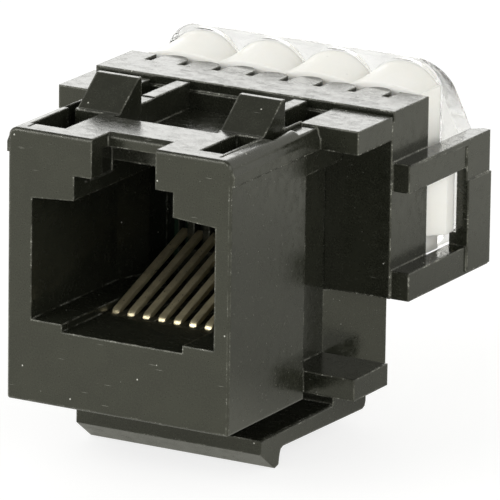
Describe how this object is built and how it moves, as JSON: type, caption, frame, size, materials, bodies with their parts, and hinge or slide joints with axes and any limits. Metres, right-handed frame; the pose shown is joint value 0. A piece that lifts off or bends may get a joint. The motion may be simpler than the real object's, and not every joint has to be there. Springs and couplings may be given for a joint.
{
  "type": "keystone jack",
  "caption": "Black snap-in modular socket with gold spring contacts in front and a row of insulation-displacement wire slots behind, under a white guide and a clear cap.",
  "frame": {"origin": "middle of the bottom edge of the nose's front face", "axes": "+Y from the plug port to the wires' cap, +Z from the springy latch up to the two fixed catches, +X to the right seen from the front"},
  "size_m": [0.0224, 0.025, 0.0217],
  "materials": {
    "black_plastic": "semi-gloss",
    "black_carrier": "satin",
    "board_green": "satin",
    "white_plastic": "satin",
    "clear_plastic": "clear",
    "gold_wire": "polished",
    "tin_blade": "tinned"
  },
  "bodies": {
    "jack": {"jack_housing": "black_plastic", "rear_housing": "black_plastic", "contact_carrier": "black_carrier", "circuit_board": "board_green", "plug_contact_1": "gold_wire", "plug_contact_2": "gold_wire", "plug_contact_3": "gold_wire", "plug_contact_4": "gold_wire", "plug_contact_5": "gold_wire", "plug_contact_6": "gold_wire", "plug_contact_7": "gold_wire", "plug_contact_8": "gold_wire", "wire_contact_1": "tin_blade", "wire_contact_2": "tin_blade", "wire_contact_3": "tin_blade", "wire_contact_4": "tin_blade", "wire_contact_5": "tin_blade", "wire_contact_6": "tin_blade", "wire_contact_7": "tin_blade", "wire_contact_8": "tin_blade"},
    "cap": {"wire_cap": "clear_plastic", "wire_guide": "white_plastic"}
  },
  "joints": [
    {"name": "cap_slide", "type": "slide", "parent": "jack", "child": "cap", "axis": [0, 1, 0], "range_m": [0, 0.008]}
  ]
}
